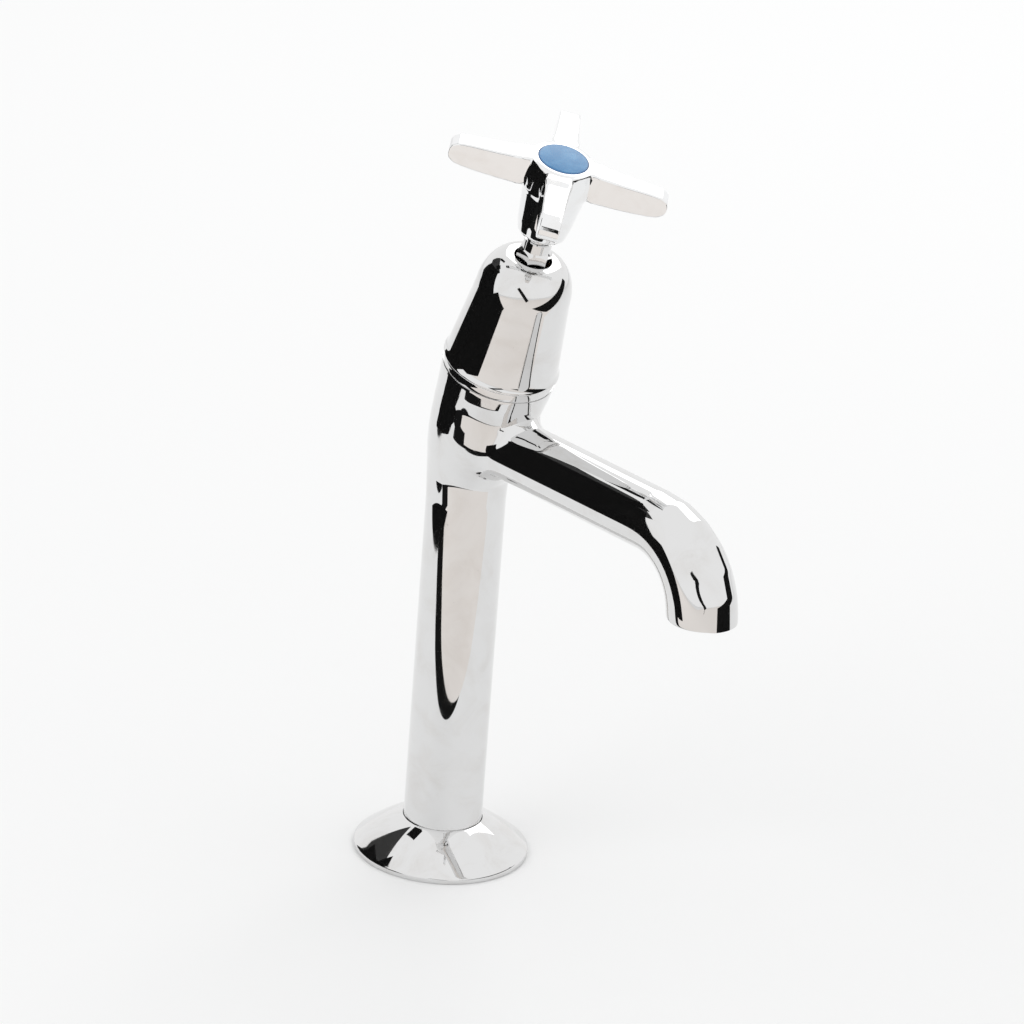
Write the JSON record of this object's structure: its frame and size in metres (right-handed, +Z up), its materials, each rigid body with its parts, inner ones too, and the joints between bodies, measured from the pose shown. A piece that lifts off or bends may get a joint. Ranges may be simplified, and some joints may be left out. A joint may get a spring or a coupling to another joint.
{
  "type": "cross handle tap",
  "caption": "Single long-neck pillar tap: domed base flange, leaning head under a conical cover, cross handle with blue index and a rising-spindle valve.",
  "frame": {"origin": "centre of the inlet thread at the underside of the pillar's foot", "axes": "+Z up along the pillar, -Y towards the spout's mouth, the head leans towards -Y"},
  "size_m": [0.06, 0.1593, 0.2676],
  "materials": {
    "chrome": "polished chrome plate",
    "brass": "machined",
    "rubber": "matte",
    "fibre": "pressed fibre",
    "packing": "waxy",
    "steel": "bright",
    "index_blue": "gloss",
    "insert": "satin"
  },
  "bodies": {
    "root": {"tap_body": "chrome", "base_flange": "chrome", "flange_grip_ring": "rubber", "base_gasket": "rubber", "cover_ring": "chrome", "easy_clean_cover": "chrome", "valve_seat": "brass", "headwork_washer": "fibre", "bonnet": "brass", "gland_packing": "packing", "packing_follower": "brass", "gland_nut": "chrome", "flow_straightener": "insert"},
    "valve": {"jumper": "brass", "tap_washer": "rubber", "nut_washer": "brass", "washer_nut": "brass"},
    "handle": {"spindle": "chrome", "cross_handle": "chrome", "handle_screw": "steel", "screw_washer": "steel", "index_button": "index_blue"}
  },
  "joints": [
    {"name": "valve_lift", "type": "slide", "parent": "root", "child": "valve", "axis": [0, -0.2756, 0.9613], "range_m": [0, 0.006]},
    {"name": "handle_turn", "type": "hinge", "parent": "valve", "child": "handle", "pos_m": [0, 0, 0.1408], "axis": [0, -0.2756, 0.9613], "range_deg": [0, 721]}
  ],
  "couplings": [
    {"joint": "handle_turn", "follows": "valve_lift", "rad_per_m": 2094.4}
  ]
}
